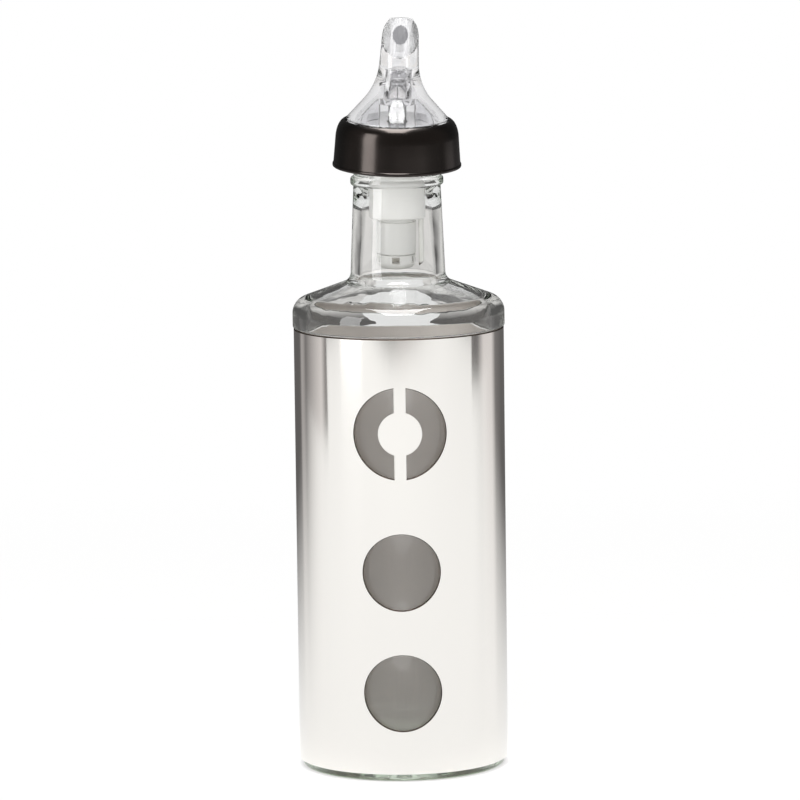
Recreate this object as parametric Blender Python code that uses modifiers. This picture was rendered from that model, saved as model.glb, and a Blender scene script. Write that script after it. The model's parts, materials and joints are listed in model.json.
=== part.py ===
"""Oil cruet: a round glass bottle in a pierced steel sleeve, with a push-in measuring pourer.

Metres, +Z up. The origin is on the bottle's axis, on the surface that the bottle stands on. The
windows of the sleeve face -Y, and so does the slanted mouth of the nozzle. The pourer sits a little
askew in its soft stopper: its hard pieces are turned upright round a pivot inside the stopper, and
hang from one tilted empty, which is the axis that they turn about.
"""
import math

import bmesh
import bpy
from mathutils import Vector

# Fits between pieces
seat_gap = 0.0003          # between two faces that rest on each other
running_gap = 0.0002       # round a piece that turns or slides inside another
cut_overrun = 0.002        # how far a cutter passes the face that it cuts
weld_distance = 0.00001    # points of a turned piece closer than this are one
body_sides = 48            # flats round the bottle, the sleeve and the collar
pourer_sides = 36
window_sides = 36
tube_sides = 28
thin_sides = 12

# Sleeve
sleeve_radius = 0.035
sleeve_wall = 0.0008
sleeve_length = 0.145
heel_show = 0.0025         # glass that shows below the sleeve
window_radius = 0.0127
window_foot = 0.0145       # steel below the lower round window
window_strip = 0.01495     # steel between the two round windows
ring_window_radius = 0.01515
ring_window_strip = 0.0183  # steel between the upper round window and the split ring
ring_window_head = 0.01615  # steel above the split ring
ring_disc_radius = 0.00725
ring_bar_width = 0.0039

# Bottle
glass_wall = 0.0028
base_glass = 0.0045        # glass over the middle of the push-up
push_up = 0.002
bearing_width = 0.004      # flat ring that the bottle stands on
heel_round = 0.003
inner_heel_round = 0.006
shoulder_overhang = 0.0003  # the shoulder stands past the sleeve by this
shoulder_side = 0.00855    # upright part of the shoulder, up to where the cone would meet it
shoulder_round = 0.0036
shoulder_rise = 0.00715    # height of the shoulder's cone
ledge_round = 0.0004
neck_foot_radius = 0.01585
neck_foot_round = 0.002
neck_top_radius = 0.0145
neck_length = 0.0315
neck_wall = 0.0029
bead_radius = 0.01545
bead_height = 0.003
bead_round = 0.0009
finish_radius = 0.0144
finish_length = 0.0136
mouth_radius = 0.00945
mouth_bore_length = 0.0176
throat_flare = 0.005       # below the mouth's bore the neck widens over this height
rim_round = 0.0012

# Stopper
stopper_length = 0.0276
stopper_flange_radius = 0.0125
stopper_flange_least = 0.0006   # flange on the side that the pourer leans to
stopper_rib_count = 4
stopper_rib_pitch = 0.0036
stopper_rib_depth = 0.00035
stopper_rib_start = 0.0025      # from the flange to the first groove
stopper_foot_round = 0.0005
air_hole_radius = 0.0006

# How the hard part of the pourer sits
pourer_lean_forward_deg = 5.0
pourer_lean_side_deg = 1.2
pivot_depth = 0.0136            # pivot below the bottle's rim

# Breather tube
breather_radius = 0.00085
breather_wall = 0.0004
breather_offset = 0.0079
breather_grip = 0.006           # length held in the stopper
breather_reach = 0.0164         # below the stopper

# Metering chamber, its cap and the ball
stem_radius = 0.006
chamber_radius = 0.0067
chamber_bore_radius = 0.0052
chamber_tail = 0.0108
chamber_roof = 0.0012
chamber_top_level = 0.0065      # roof of the chamber above the pivot
seat_hole_radius = 0.0024
socket_radius = 0.0032
socket_wall = 0.0012
socket_height = 0.0055
cap_height = 0.0051
cap_floor = 0.0014
cap_grip = 0.003                # length of cap held in the chamber
cap_wall = 0.00065
cap_round = 0.0024
cup_round = 0.0032              # inside the cap, under the ball
cap_drain_radius = 0.0015
slot_count = 6
slot_width = 0.0022
slot_height = 0.0022
ball_radius = 0.00475

# Spout
dome_radius = 0.0169
spout_flange_reach = 0.001      # flange past the dome
spout_flange_height = 0.0014
dome_step = 0.0005              # upright edge of the dome that shows above the collar
dome_rise = 0.01115
dome_wall = 0.002
dome_foot_wall = 0.0021
crease_radius = 0.006865
crease_round_down = 0.0069
crease_round_up = 0.0074
nozzle_length = 0.0218
nozzle_tip_radius = 0.00578
nozzle_tip_round = 0.0009
nozzle_bore_radius = 0.00255
nozzle_lean_forward_deg = 3.5
nozzle_lean_side_deg = 2.2
lean_start = 0.0066             # below the crease, where the nozzle begins to lean
lean_blend = 0.006              # height over which the lean comes in
mouth_cut_deg = 50.0
mouth_drop = 0.0051             # from the top of the nozzle to the cut, along its axis
mouth_edge_round = 0.0006
upright_wall_deg = 15.0         # a wall that leans less than this counts as upright
vent_radius = 0.00065
vent_rise = 0.0010              # above the crease
vent_turn_deg = -48.6
vane_count = 6
vane_thickness = 0.0009
vane_inner_radius = 0.007
vane_foot = 0.0006              # above the flange's underside
vane_bite = 0.0007              # how far a vane runs into the dome's wall
head_air_gap = 0.0006           # air space round the flow tube's head, below its socket
socket_rise = 0.0027            # above the crease, where the nozzle's socket for the head begins

# Flow tube
tube_head_radius = 0.0046
tube_head_length = 0.0097
tube_head_wall = 0.0014
tube_ring_radius = 0.0062
tube_ring_height = 0.0024
tube_stem_radius = 0.003
tube_bore_radius = 0.0022
tube_socket_depth = 0.0027      # length of head held in the socket

# Collar
collar_height = 0.0165
collar_lip = 0.0014             # wall over the spout's flange
collar_grip = 0.0007            # how far the lip covers the flange
collar_shoulder_wall = 0.00185  # round the flange's edge
collar_shoulder_across = 0.0027
collar_shoulder_down = 0.0056
collar_flare = 0.00105          # the skirt widens by this on its way down
collar_wall = 0.0015
collar_hem = 0.0018
collar_hem_step = 0.0003
collar_hem_round = 0.0002
snap_height = 0.0007
snap_reach = 0.0007
snap_slope = 0.0008

# Levels of the bottle and the sleeve, from the floor up
sleeve_bottom = heel_show
sleeve_top = sleeve_bottom + sleeve_length
steel_between = sleeve_length - window_radius * 4 - ring_window_radius * 2
strip_fit = steel_between / (window_foot + window_strip + ring_window_strip + ring_window_head)
low_window_height = sleeve_bottom + window_foot * strip_fit + window_radius
middle_window_height = low_window_height + window_strip * strip_fit + window_radius * 2
ring_window_height = sleeve_top - ring_window_head * strip_fit - ring_window_radius
body_radius = sleeve_radius - sleeve_wall - seat_gap
ledge_height = sleeve_top + seat_gap
shoulder_radius = sleeve_radius + shoulder_overhang
shoulder_corner_height = ledge_height + shoulder_side
neck_foot_height = shoulder_corner_height + shoulder_rise
neck_top_height = neck_foot_height + neck_length
bead_top_height = neck_top_height + bead_height
rim_height = bead_top_height + finish_length
bore_foot_height = rim_height - mouth_bore_length
throat_foot_height = bore_foot_height - throat_flare
stopper_radius = mouth_radius - running_gap
stopper_foot_height = rim_height - stopper_length
pivot_height = rim_height - pivot_depth

# Lean of the pourer's axis from the bottle's
lean_forward = math.radians(pourer_lean_forward_deg)
lean_side = math.radians(pourer_lean_side_deg)
lean_cosine = math.cos(lean_forward) * math.cos(lean_side)
lean_tangent = math.tan(math.acos(lean_cosine))

# Radii that follow the dome
spout_flange_radius = dome_radius + spout_flange_reach
collar_shoulder_radius = spout_flange_radius + seat_gap + collar_shoulder_wall

# Levels of the pourer, along its own axis from the pivot
seat_height = rim_height + seat_gap + stopper_flange_least + stopper_flange_radius * lean_tangent
seat_level = (seat_height - pivot_height) * lean_cosine
flange_level = seat_level + seat_gap
flange_top_level = flange_level + spout_flange_height
lip_level = flange_top_level + seat_gap
collar_top_level = lip_level + collar_lip
collar_foot_level = collar_top_level - collar_height
dome_level = collar_top_level + dome_step
crease_level = dome_level + dome_rise
tip_level = crease_level + nozzle_length
lean_level = crease_level - lean_start
stem_foot_level = stopper_foot_height - pivot_height - chamber_radius * lean_tangent - seat_gap
tail_level = stem_foot_level - chamber_tail
cap_foot_level = tail_level - cap_height
ball_level = cap_foot_level + cap_floor + seat_gap + ball_radius

parts = bpy.data.collections.new("oil_cruet")
cutters = bpy.data.collections.new("cutters")


def clear_scene():
    """Removes what the file opened with, and adds the two collections."""
    for old in list(bpy.data.objects):
        bpy.data.objects.remove(old, do_unlink=True)
    bpy.context.scene.collection.children.link(parts)
    bpy.context.scene.collection.children.link(cutters)


def material(name, colour, roughness, metallic=0.0, clear=0.0, ior=1.5):
    """A plain finish: colour is linear red, green and blue."""
    finish = bpy.data.materials.new(name)
    finish.use_nodes = True
    shader = finish.node_tree.nodes["Principled BSDF"]
    shader.inputs["Base Color"].default_value = (*colour, 1.0)
    shader.inputs["Roughness"].default_value = roughness
    shader.inputs["Metallic"].default_value = metallic
    shader.inputs["Transmission Weight"].default_value = clear
    shader.inputs["IOR"].default_value = ior
    return finish


def add_part(name, mesh, finish, parent=None):
    """A piece of the cruet, hung from an empty if it leans with the pourer."""
    piece = bpy.data.objects.new(name, mesh)
    parts.objects.link(piece)
    mesh.materials.append(finish)
    piece.parent = parent
    return piece


def add_cutter(name, mesh, parent=None):
    """A solid that only cuts or joins others, shown as wires."""
    cutter = bpy.data.objects.new(name, mesh)
    cutters.objects.link(cutter)
    cutter.hide_render = True
    cutter.display_type = "WIRE"
    cutter.parent = parent
    return cutter


def boolean(piece, tool, operation="DIFFERENCE"):
    """Cuts a tool out of a piece, or joins it on."""
    step = piece.modifiers.new(tool.name, "BOOLEAN")
    step.operation = operation
    step.solver = "EXACT"
    step.object = tool


def rounded(corners):
    """An outline's points from its corners (radius, height, before, after, steps).

    before and after say how far from the corner its round begins and ends, and zero keeps it sharp.
    The rounds are conic arcs, true circles where before and after are alike.
    """
    points = []
    for place, (radius, height, *ease) in enumerate(corners):
        here = Vector((radius, height))
        if not ease:
            points.append(here)
            continue
        before, after, steps = ease
        back = (Vector(corners[place - 1][:2]) - here).normalized()
        ahead = (Vector(corners[(place + 1) % len(corners)][:2]) - here).normalized()
        start = here + back * before
        end = here + ahead * after
        pull = math.sin(back.angle(ahead) / 2)
        for step in range(steps + 1):
            share = step / steps
            from_start = (1 - share) ** 2
            from_here = 2 * pull * share * (1 - share)
            from_end = share ** 2
            whole = from_start + from_here + from_end
            points.append((start * from_start + here * from_here + end * from_end) / whole)
    return points


def corner(radius, height, ease=0, steps=2):
    """One corner of an outline, sharp or with an even round."""
    return (radius, height, ease, ease, steps) if ease else (radius, height)


def outline_mesh(name, corners, ring):
    """An outline in the XZ plane. It runs down the outer side; a ring's outline closes on itself."""
    points = rounded(corners)
    edges = [(place, place + 1) for place in range(len(points) - 1)]
    if ring:
        edges.append((len(points) - 1, 0))
    mesh = bpy.data.meshes.new(name)
    mesh.from_pydata([(point.x, 0, point.y) for point in points], edges, [])
    return mesh


def turn(piece, sides):
    """Turns a piece's outline once round its Z axis."""
    screw = piece.modifiers.new("Turn", "SCREW")
    screw.steps = sides
    screw.render_steps = sides
    screw.use_merge_vertices = True
    screw.merge_threshold = weld_distance
    screw.use_smooth_shade = True


def bake(piece):
    """Writes a piece's modifiers into its mesh."""
    graph = bpy.context.evaluated_depsgraph_get()
    mesh = bpy.data.meshes.new_from_object(piece.evaluated_get(graph))
    piece.modifiers.clear()
    piece.data = mesh
    return mesh


def cylinder_mesh(name, radius, length, sides):
    """A closed cylinder along Z, centred on its origin."""
    mesh = bpy.data.meshes.new(name)
    shape = bmesh.new()
    bmesh.ops.create_cone(shape, cap_ends=True, segments=sides, depth=length, radius1=radius, radius2=radius)
    shape.to_mesh(mesh)
    shape.free()
    return mesh


def box_mesh(name, size_x, size_y, size_z):
    """A closed box centred on its origin."""
    mesh = bpy.data.meshes.new(name)
    shape = bmesh.new()
    bmesh.ops.create_cube(shape, size=1)
    bmesh.ops.scale(shape, vec=(size_x, size_y, size_z), verts=shape.verts)
    shape.to_mesh(mesh)
    shape.free()
    return mesh


def smooth(piece, sharp_deg=35):
    """Shades a round piece smooth, with its corners kept crisp."""
    piece.data.shade_smooth()
    piece.data.set_sharp_from_angle(angle=math.radians(sharp_deg))


def nozzle_shift(level):
    """How far the leaning nozzle's axis lies from the pourer's at a level: X and Y."""
    rise = max(level - lean_level, 0)
    if rise < lean_blend:
        along = rise ** 2 / (2 * lean_blend)
    else:
        along = rise - lean_blend / 2
    side = math.tan(math.radians(nozzle_lean_side_deg))
    forward = math.tan(math.radians(nozzle_lean_forward_deg))
    return Vector((along * side, -along * forward, 0))


def lean(piece):
    """Bends a turned piece over so that it follows the nozzle's axis."""
    mesh = bake(piece)
    for vertex in mesh.vertices:
        vertex.co += nozzle_shift(vertex.co.z)


def make_pourer_axis():
    """The tilted axis that the hard pieces of the pourer hang from and turn about."""
    axis = bpy.data.objects.new("pourer_axis", None)
    parts.objects.link(axis)
    axis.location = (0, 0, pivot_height)
    axis.rotation_euler = (lean_forward, lean_side, 0)
    return axis


def make_sleeve():
    """Steel tube, open at both ends, with a split ring and two round windows in front."""
    inner = sleeve_radius - sleeve_wall
    corners = [corner(inner, sleeve_top), corner(sleeve_radius, sleeve_top),
               corner(sleeve_radius, sleeve_bottom), corner(inner, sleeve_bottom)]
    steel = material("sleeve_steel", (0.80, 0.79, 0.77), 0.16, metallic=1.0)
    sleeve = add_part("sleeve", outline_mesh("sleeve", corners, ring=True), steel)
    turn(sleeve, body_sides)
    depth = sleeve_radius + cut_overrun
    heights = {"low_window": low_window_height, "middle_window": middle_window_height}
    for name, height in heights.items():
        window = add_cutter(name, cylinder_mesh(name, window_radius, depth, window_sides))
        window.rotation_euler = (math.pi / 2, 0, 0)
        window.location = (0, -depth / 2, height)
        boolean(sleeve, window)
    kept_depth = depth + cut_overrun * 2
    bar_height = (ring_window_radius + cut_overrun) * 2
    ring = add_cutter("ring_window", cylinder_mesh("ring_window", ring_window_radius, depth, window_sides))
    disc = add_cutter("ring_disc", cylinder_mesh("ring_disc", ring_disc_radius, kept_depth, window_sides))
    bar = add_cutter("ring_bar", box_mesh("ring_bar", ring_bar_width, bar_height, kept_depth))
    for cutter in (ring, disc, bar):
        cutter.rotation_euler = (math.pi / 2, 0, 0)
        cutter.location = (0, -depth / 2, ring_window_height)
    boolean(ring, disc)
    boolean(ring, bar)
    boolean(sleeve, ring)
    return sleeve


def make_bottle():
    """Clear glass bottle: set back under its shoulder for the sleeve, with a heel that it stands on."""
    inner_radius = body_radius - glass_wall
    bearing_radius = body_radius - heel_round
    push_up_radius = bearing_radius - bearing_width
    floor_height = push_up + base_glass
    cone = math.atan2(shoulder_rise, shoulder_radius - neck_foot_radius)
    cone_drop = neck_wall / math.cos(cone)
    inner_neck_foot = neck_foot_radius - neck_wall
    inner_neck_top = neck_top_radius - neck_wall

    def inner_cone_height(radius):
        return neck_foot_height - cone_drop - (radius - neck_foot_radius) * math.tan(cone)

    corners = [
        corner(0, floor_height),
        corner(inner_radius, floor_height, inner_heel_round, 3),
        corner(inner_radius, inner_cone_height(inner_radius), shoulder_round, 3),
        corner(inner_neck_foot, inner_cone_height(inner_neck_foot), neck_foot_round, 2),
        corner(inner_neck_top, throat_foot_height),
        corner(mouth_radius, bore_foot_height),
        corner(mouth_radius, rim_height, rim_round / 2, 1),
        corner(finish_radius, rim_height, rim_round, 2),
        corner(finish_radius, bead_top_height),
        corner(bead_radius, bead_top_height - bead_round / 2, bead_round / 2, 1),
        corner(bead_radius, neck_top_height + bead_round / 2, bead_round / 2, 1),
        corner(neck_top_radius, neck_top_height),
        corner(neck_foot_radius, neck_foot_height, neck_foot_round, 3),
        corner(shoulder_radius, shoulder_corner_height, shoulder_round, 4),
        corner(shoulder_radius, ledge_height, ledge_round, 1),
        corner(body_radius, ledge_height),
        corner(body_radius, 0, heel_round, 3),
        corner(push_up_radius, 0),
        corner(push_up_radius - push_up, push_up),
        corner(0, push_up),
    ]
    glass = material("bottle_glass", (0.93, 0.97, 0.94), 0.02, clear=1.0, ior=1.52)
    bottle = add_part("bottle", outline_mesh("bottle", corners, ring=False), glass)
    turn(bottle, body_sides)
    return bottle


def make_stopper(pourer_axis):
    """Milky push-in plug with sealing ribs, cut askew where the hard pourer sits in it."""
    flange_height = rim_height + seat_gap
    raw_top = seat_height + stopper_flange_radius * lean_tangent + cut_overrun
    groove_radius = stopper_radius - stopper_rib_depth
    corners = [corner(0, raw_top), corner(stopper_flange_radius, raw_top),
               corner(stopper_flange_radius, flange_height), corner(stopper_radius, flange_height)]
    groove = rim_height - stopper_rib_start
    for _ in range(stopper_rib_count):
        corners += [
            corner(stopper_radius, groove),
            corner(groove_radius, groove - stopper_rib_depth),
            corner(groove_radius, groove - stopper_rib_pitch / 2),
            corner(stopper_radius, groove - stopper_rib_pitch / 2 - stopper_rib_depth),
        ]
        groove -= stopper_rib_pitch
    corners += [corner(stopper_radius, stopper_foot_height, stopper_foot_round, 1),
                corner(0, stopper_foot_height)]
    milky = material("stopper_polyethylene", (0.80, 0.80, 0.79), 0.45)
    stopper = add_part("stopper", outline_mesh("stopper", corners, ring=False), milky)
    turn(stopper, pourer_sides)

    reach = stopper_length + raw_top - rim_height + cut_overrun
    bore = cylinder_mesh("stopper_bore", stem_radius + running_gap, reach * 2, tube_sides)
    boolean(stopper, add_cutter("stopper_bore", bore, pourer_axis))
    trim_height = (raw_top - seat_height) * 2 + cut_overrun
    trim = cylinder_mesh("stopper_trim", stopper_flange_radius * 2, trim_height, tube_sides)
    trim_cutter = add_cutter("stopper_trim", trim, pourer_axis)
    trim_cutter.location = (0, 0, seat_level + trim_height / 2)
    boolean(stopper, trim_cutter)
    air_hole = add_cutter("air_hole", cylinder_mesh("air_hole", air_hole_radius, reach * 2, thin_sides))
    air_hole.location = (breather_offset, 0, stopper_foot_height)
    boolean(stopper, air_hole)
    grip_length = breather_grip + seat_gap + cut_overrun
    grip = cylinder_mesh("breather_hole", breather_radius + running_gap / 2, grip_length, thin_sides)
    grip_cutter = add_cutter("breather_hole", grip)
    grip_cutter.location = (breather_offset, 0, stopper_foot_height - cut_overrun + grip_length / 2)
    boolean(stopper, grip_cutter)
    return stopper


def make_breather_tube():
    """Thin air tube, held in the stopper beside the chamber."""
    top = stopper_foot_height + breather_grip
    bottom = stopper_foot_height - breather_reach
    bore = breather_radius - breather_wall
    corners = [corner(bore, top), corner(breather_radius, top),
               corner(breather_radius, bottom), corner(bore, bottom)]
    clear = material("breather_plastic", (0.85, 0.85, 0.84), 0.2)
    tube = add_part("breather_tube", outline_mesh("breather_tube", corners, ring=True), clear)
    tube.location = (breather_offset, 0, 0)
    turn(tube, thin_sides)
    return tube


def make_chamber(pourer_axis):
    """Metering chamber: a stem held in the stopper, a wider tail below it and a socket on its roof."""
    roof_under = chamber_top_level - chamber_roof
    cone_foot = roof_under - (chamber_bore_radius - seat_hole_radius)
    socket_outer = socket_radius + socket_wall
    socket_top = chamber_top_level + socket_height
    grip_radius = chamber_radius - cap_wall - running_gap
    grip_top = tail_level + cap_grip + seat_gap
    corners = [
        corner(socket_radius, socket_top),
        corner(socket_outer, socket_top),
        corner(socket_outer, chamber_top_level),
        corner(stem_radius, chamber_top_level),
        corner(stem_radius, stem_foot_level),
        corner(chamber_radius, stem_foot_level),
        corner(chamber_radius, tail_level),
        corner(grip_radius, tail_level),
        corner(grip_radius, grip_top),
        corner(chamber_bore_radius, grip_top),
        corner(chamber_bore_radius, cone_foot),
        corner(seat_hole_radius, roof_under),
        corner(seat_hole_radius, chamber_top_level),
        corner(socket_radius, chamber_top_level),
    ]
    pale = material("chamber_plastic", (0.82, 0.81, 0.80), 0.25)
    mesh = outline_mesh("metering_chamber", corners, ring=True)
    chamber = add_part("metering_chamber", mesh, pale, pourer_axis)
    turn(chamber, tube_sides)
    return chamber


def make_chamber_cap(pourer_axis):
    """Slotted cage with a rounded end, which lets the oil in and carries the ball."""
    grip_radius = chamber_radius - cap_wall - running_gap * 2
    cup_radius = ball_radius + seat_gap
    floor = cap_foot_level + cap_floor
    corners = [
        corner(grip_radius, tail_level + cap_grip),
        corner(grip_radius, tail_level - seat_gap),
        corner(chamber_radius, tail_level - seat_gap),
        corner(chamber_radius, cap_foot_level, cap_round, 4),
        corner(cap_drain_radius, cap_foot_level),
        corner(cap_drain_radius, floor),
        corner(cup_radius, floor, cup_round, 3),
        corner(cup_radius, tail_level + cap_grip),
    ]
    pale = material("cap_plastic", (0.78, 0.77, 0.77), 0.3)
    cap = add_part("chamber_cap", outline_mesh("chamber_cap", corners, ring=True), pale, pourer_axis)
    turn(cap, tube_sides)
    slot_level = (floor + tail_level) / 2
    for place in range(slot_count):
        angle = 2 * math.pi * (place + 0.5) / slot_count
        name = f"cap_slot_{place + 1}"
        slot = add_cutter(name, box_mesh(name, chamber_radius, slot_width, slot_height), pourer_axis)
        slot.rotation_euler = (0, 0, angle)
        slot.location = (chamber_radius * math.cos(angle), chamber_radius * math.sin(angle), slot_level)
        boolean(cap, slot)
    return cap


def make_ball(pourer_axis):
    """The ball that sinks to its seat while the cruet is tipped. Its origin is its centre."""
    mesh = bpy.data.meshes.new("metering_ball")
    shape = bmesh.new()
    bmesh.ops.create_uvsphere(shape, u_segments=16, v_segments=10, radius=ball_radius)
    shape.to_mesh(mesh)
    shape.free()
    nylon = material("ball_nylon", (0.82, 0.80, 0.76), 0.3)
    ball = add_part("metering_ball", mesh, nylon, pourer_axis)
    ball.location = (0, 0, ball_level)
    return ball


def make_flow_tube(pourer_axis):
    """Clear tube from the chamber's socket up into the nozzle, with a ring at the foot of its head."""
    head_top = crease_level + socket_rise + tube_socket_depth
    head_foot = head_top - tube_head_length
    ring_foot = head_foot - tube_ring_height
    foot = chamber_top_level + seat_gap
    head_bore = tube_head_radius - tube_head_wall
    corners = [
        corner(nozzle_bore_radius, head_top),
        corner(tube_head_radius, head_top),
        corner(tube_head_radius, head_foot),
        corner(tube_ring_radius, head_foot),
        corner(tube_ring_radius, ring_foot),
        corner(tube_stem_radius, ring_foot),
        corner(tube_stem_radius, foot),
        corner(tube_bore_radius, foot),
        corner(tube_bore_radius, ring_foot),
        corner(head_bore, head_foot),
    ]
    clear = material("flow_tube_plastic", (0.92, 0.92, 0.92), 0.05, clear=1.0, ior=1.57)
    tube = add_part("flow_tube", outline_mesh("flow_tube", corners, ring=True), clear, pourer_axis)
    turn(tube, tube_sides)
    lean(tube)
    return tube


def make_vanes(pourer_axis, wall_height):
    """Upright plates under the dome, from its wall in towards the flow tube."""
    low = flange_level + vane_foot
    outer = dome_radius - dome_foot_wall + vane_bite
    bite = vane_bite * math.hypot(dome_rise, dome_radius - crease_radius) / (dome_radius - crease_radius)
    profile = [(vane_inner_radius, low), (outer, low), (outer, wall_height(outer) + bite),
               (vane_inner_radius, wall_height(vane_inner_radius) + bite)]
    vanes = []
    for place in range(vane_count):
        name = f"vane_{place + 1}"
        shape = bmesh.new()
        face = shape.faces.new([shape.verts.new((x, -vane_thickness / 2, z)) for x, z in profile])
        grown = bmesh.ops.extrude_face_region(shape, geom=[face])["geom"]
        moved = [item for item in grown if isinstance(item, bmesh.types.BMVert)]
        bmesh.ops.translate(shape, vec=(0, vane_thickness, 0), verts=moved)
        bmesh.ops.recalc_face_normals(shape, faces=shape.faces)
        mesh = bpy.data.meshes.new(name)
        shape.to_mesh(mesh)
        shape.free()
        vane = add_cutter(name, mesh, pourer_axis)
        vane.rotation_euler = (0, 0, 2 * math.pi * (place + 0.5) / vane_count)
        vanes.append(vane)
    return vanes


def make_spout(pourer_axis):
    """Clear dome and leaning nozzle in one moulding, with a slanted mouth and an air hole."""
    cone_run = dome_radius - crease_radius
    cone_length = math.hypot(cone_run, dome_rise)
    slope = dome_rise / cone_run
    inner_foot_radius = dome_radius - dome_foot_wall
    socket_bore = tube_head_radius + running_gap
    cavity_radius = socket_bore + head_air_gap
    socket_level = crease_level + socket_rise
    socket_top_level = socket_level + tube_socket_depth + seat_gap

    def inner_wall_height(radius):
        return dome_level + (dome_radius - radius) * slope - dome_wall * cone_length / cone_run

    corners = [
        corner(nozzle_bore_radius, tip_level),
        corner(nozzle_tip_radius, tip_level, nozzle_tip_round, 2),
        (crease_radius, crease_level, crease_round_up, crease_round_down, 8),
        corner(dome_radius, dome_level),
        corner(dome_radius, flange_top_level),
        corner(spout_flange_radius, flange_top_level),
        corner(spout_flange_radius, flange_level),
        corner(inner_foot_radius, flange_level),
        corner(inner_foot_radius, inner_wall_height(inner_foot_radius)),
        corner(cavity_radius, inner_wall_height(cavity_radius), dome_wall, 3),
        corner(cavity_radius, socket_level),
        corner(socket_bore, socket_level),
        corner(socket_bore, socket_top_level),
        corner(nozzle_bore_radius, socket_top_level),
    ]
    clear = material("spout_plastic", (0.95, 0.95, 0.96), 0.03, clear=1.0, ior=1.57)
    spout = add_part("spout", outline_mesh("spout", corners, ring=True), clear, pourer_axis)
    turn(spout, pourer_sides)
    lean(spout)
    for vane in make_vanes(pourer_axis, inner_wall_height):
        boolean(spout, vane, "UNION")

    vent_level = crease_level + vent_rise
    turn_angle = math.radians(vent_turn_deg)
    outwards = Vector((math.sin(turn_angle), -math.cos(turn_angle), 0))
    vent_start = (socket_bore + cavity_radius) / 2
    vent_end = crease_radius + cut_overrun
    drill = cylinder_mesh("vent", vent_radius, vent_end - vent_start, thin_sides)
    vent = add_cutter("vent", drill, pourer_axis)
    vent.rotation_euler = (math.pi / 2, 0, turn_angle)
    vent.location = nozzle_shift(vent_level) + outwards * (vent_start + vent_end) / 2
    vent.location.z = vent_level
    boolean(spout, vent)

    mouth_level = tip_level - mouth_drop
    slant = math.radians(mouth_cut_deg)
    mouth = nozzle_shift(mouth_level) + Vector((0, 0, mouth_level))
    facing = Vector((0, -math.sin(slant), math.cos(slant)))
    size = nozzle_length
    knife = add_cutter("mouth_knife", box_mesh("mouth_knife", size, size, size), pourer_axis)
    knife.rotation_euler = (slant, 0, 0)
    knife.location = mouth + facing * size / 2
    boolean(spout, knife)
    bake(spout)
    soften_mouth(spout, mouth, facing)
    return spout


def soften_mouth(spout, mouth, facing):
    """Rounds the rim that the slanted cut leaves on the nozzle's upright wall, as a moulded mouth is."""
    middle_radius = (nozzle_bore_radius + nozzle_tip_radius) / 2
    shape = bmesh.new()
    shape.from_mesh(spout.data)
    rim = []
    for edge in shape.edges:
        ends = [vertex.co - mouth for vertex in edge.verts]
        in_cut = all(abs(end.dot(facing)) < weld_distance for end in ends)
        on_wall = all(math.hypot(end.x, end.y) > middle_radius for end in ends)
        steepest = min((abs(face.normal.z) for face in edge.link_faces), default=1)
        if in_cut and on_wall and steepest < math.sin(math.radians(upright_wall_deg)):
            rim.append(edge)
    bmesh.ops.bevel(shape, geom=rim, offset=mouth_edge_round, segments=2, profile=0.5, affect="EDGES")
    shape.to_mesh(spout.data)
    shape.free()


def make_collar(pourer_axis):
    """Black bell that hides the mouth. Its lip and a snap ridge hold the spout's flange."""
    opening = spout_flange_radius - collar_grip
    wall_radius = spout_flange_radius + seat_gap
    hem_top_level = collar_foot_level + collar_hem
    foot_radius = collar_shoulder_radius + collar_flare
    skirt_inner = foot_radius - collar_wall
    snap_level = flange_level - seat_gap
    snap_radius = wall_radius - snap_reach
    snap_foot_level = snap_level - snap_height - snap_slope
    skirt_slope = collar_flare / (collar_height - collar_hem)
    skirt_top = collar_shoulder_radius + (collar_top_level - snap_foot_level) * skirt_slope - collar_wall
    corners = [
        corner(opening, collar_top_level),
        (collar_shoulder_radius, collar_top_level, collar_shoulder_across, collar_shoulder_down, 5),
        corner(foot_radius, hem_top_level),
        corner(foot_radius + collar_hem_step, hem_top_level - collar_hem_step, collar_hem_round, 1),
        corner(foot_radius + collar_hem_step, collar_foot_level, collar_hem_round, 2),
        corner(skirt_inner, collar_foot_level),
        corner(skirt_top, snap_foot_level),
        corner(snap_radius, snap_level - snap_height),
        corner(snap_radius, snap_level),
        corner(wall_radius, snap_level),
        corner(wall_radius, lip_level),
        corner(opening, lip_level),
    ]
    black = material("collar_black", (0.012, 0.011, 0.012), 0.12)
    collar = add_part("collar", outline_mesh("collar", corners, ring=True), black, pourer_axis)
    turn(collar, body_sides)
    return collar


clear_scene()
tilted_axis = make_pourer_axis()
make_sleeve()
make_bottle()
make_stopper(tilted_axis)
make_breather_tube()
make_chamber(tilted_axis)
make_chamber_cap(tilted_axis)
make_ball(tilted_axis)
make_flow_tube(tilted_axis)
make_spout(tilted_axis)
make_collar(tilted_axis)
for piece in parts.objects:
    if piece.type == "MESH":
        bake(piece)
        smooth(piece)
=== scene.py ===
"""Oil cruet: a glass bottle in a pierced steel sleeve, with a push-in measuring pourer.

The cruet's lengths are in mm, and those of the table, the large card, the lamps and the camera in
metres. The levels of the hard part of the pourer are counted from its pivot, up its tilted axis.
"""

import json
import math

import bmesh
import bpy
from mathutils import Matrix, Vector


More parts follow.
